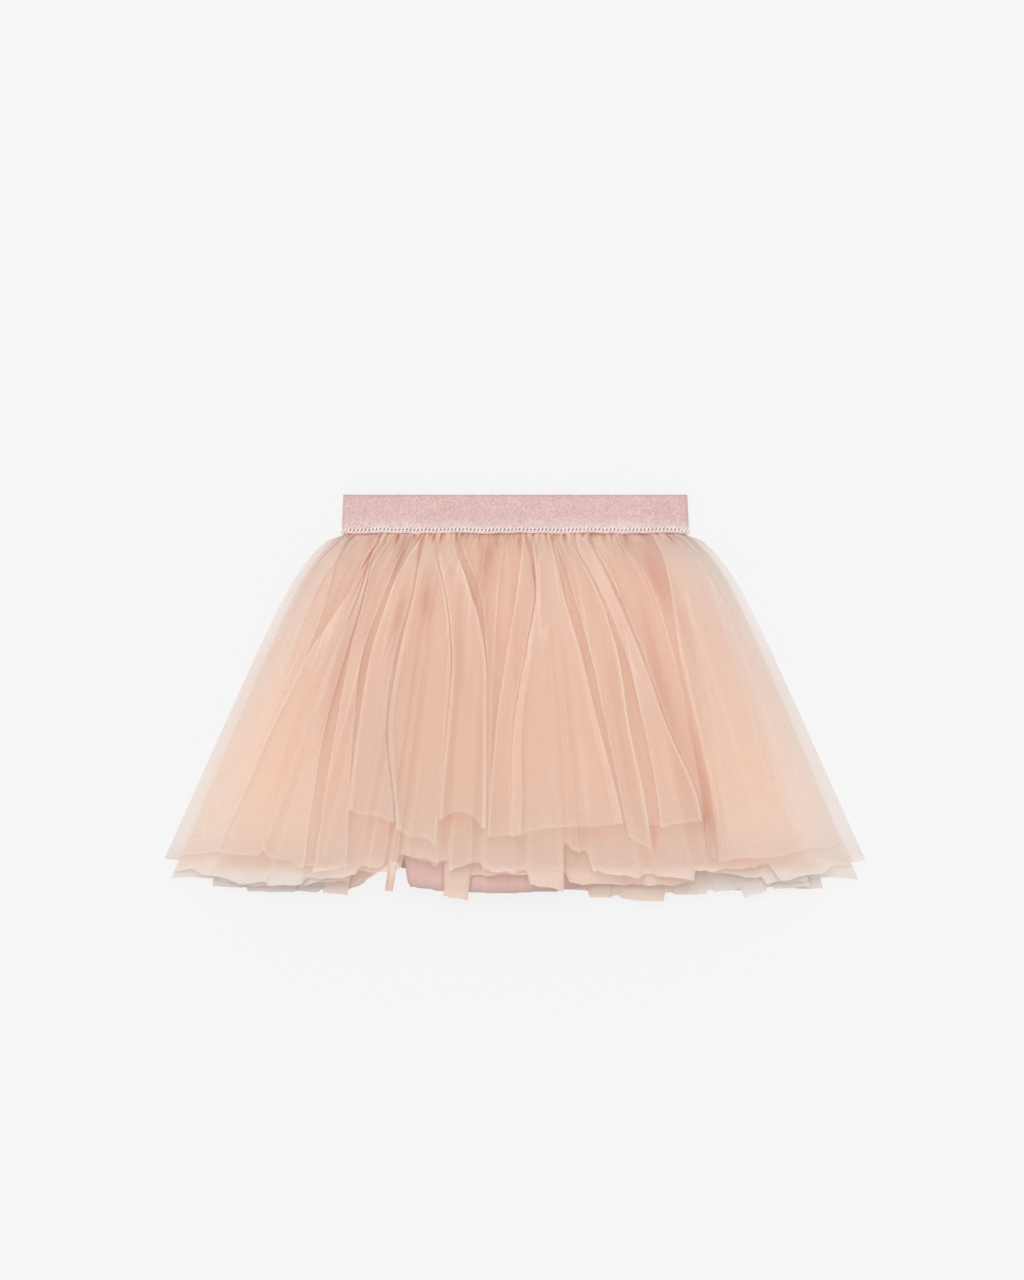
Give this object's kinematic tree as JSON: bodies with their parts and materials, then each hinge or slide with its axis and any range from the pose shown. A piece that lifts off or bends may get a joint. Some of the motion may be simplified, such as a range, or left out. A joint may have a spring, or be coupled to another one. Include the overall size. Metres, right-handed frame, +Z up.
{
  "type": "tulle skirt",
  "caption": "Child's tulle skirt laid flat: wide shimmer elastic waistband, slip lining and full gathered tulle layers that flare from the waist to an uneven soft hem.",
  "frame": {"origin": "centre of the skirt's box, on the surface that it lies on", "axes": "+X across the skirt, towards its left side as worn; +Y from the hem towards the waist; +Z up, out of the front"},
  "size_m": [0.4616, 0.2673, 0.0587],
  "materials": {
    "shimmer_elastic": "ribbed elastic with a soft metallic shimmer",
    "slip_lining": "smooth matt lining cloth",
    "tulle": "sheer soft net, matt with a faint sheen"
  },
  "bodies": {
    "root": {"waistband": "shimmer_elastic", "lining_front": "slip_lining", "lining_back": "slip_lining", "tulle_inner_front": "tulle", "tulle_inner_back": "tulle", "tulle_middle_front": "tulle", "tulle_middle_back": "tulle", "tulle_outer_front": "tulle", "tulle_outer_back": "tulle"}
  },
  "joints": []
}
